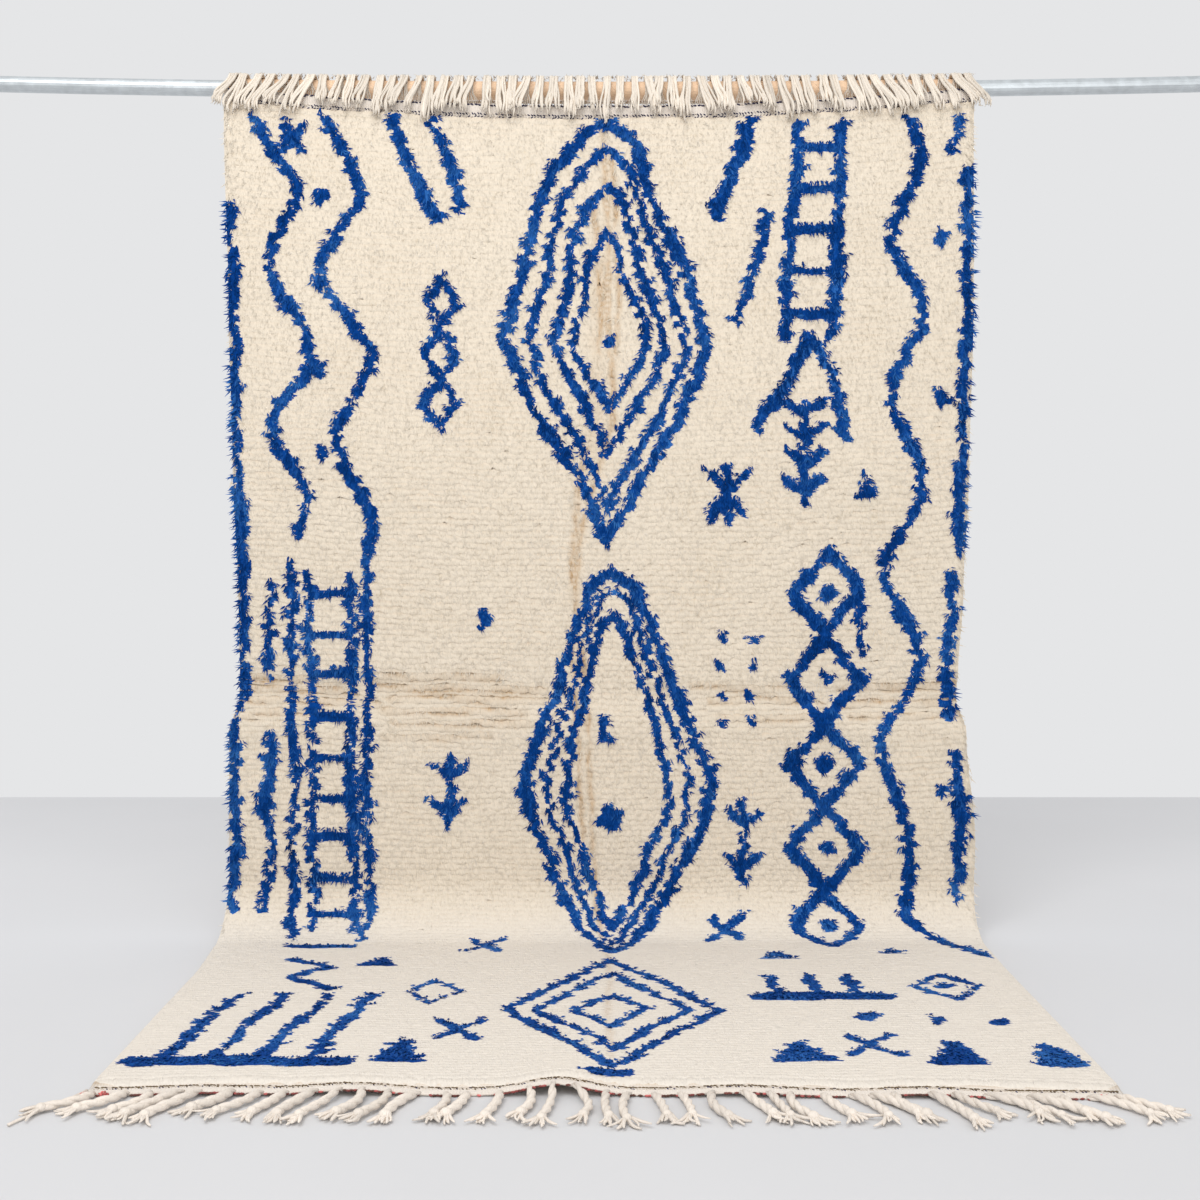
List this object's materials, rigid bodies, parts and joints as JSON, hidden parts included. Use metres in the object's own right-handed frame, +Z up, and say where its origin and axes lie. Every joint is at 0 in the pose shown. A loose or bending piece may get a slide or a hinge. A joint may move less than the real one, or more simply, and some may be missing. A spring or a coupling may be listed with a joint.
{
  "type": "beni ourain rug on a hanging rod",
  "caption": "Hand-knotted wool pile rug with nested lozenges, hung by its warp ends from a steel rod, its tasselled lower end bent forward and lying on the floor.",
  "frame": {"origin": "on the floor, under the middle of the whole object's box", "axes": "+X along the rod to the viewer's right, -Y towards the viewer, out of the rug's face, +Z up"},
  "size_m": [2.8, 1.1582, 1.8531],
  "materials": {
    "wool_ivory": "shaggy hand-knotted ivory wool pile",
    "wool_blue": "shaggy hand-knotted blue wool pile, unevenly dyed",
    "flat_weave": "flat-woven band of undyed wool",
    "twine_dark": "dark twined rows of yarn",
    "yarn_pink": "pink and dark red end yarn",
    "fringe_cord": "twisted undyed cords with loose ends",
    "card_tube": "smooth tan card tube",
    "steel_rod": "galvanised, dull sheen"
  },
  "bodies": {
    "root": {"rug": "wool_ivory", "fringe_top": "fringe_cord", "fringe_front": "fringe_cord", "tube": "card_tube", "rod": "steel_rod"}
  },
  "joints": []
}
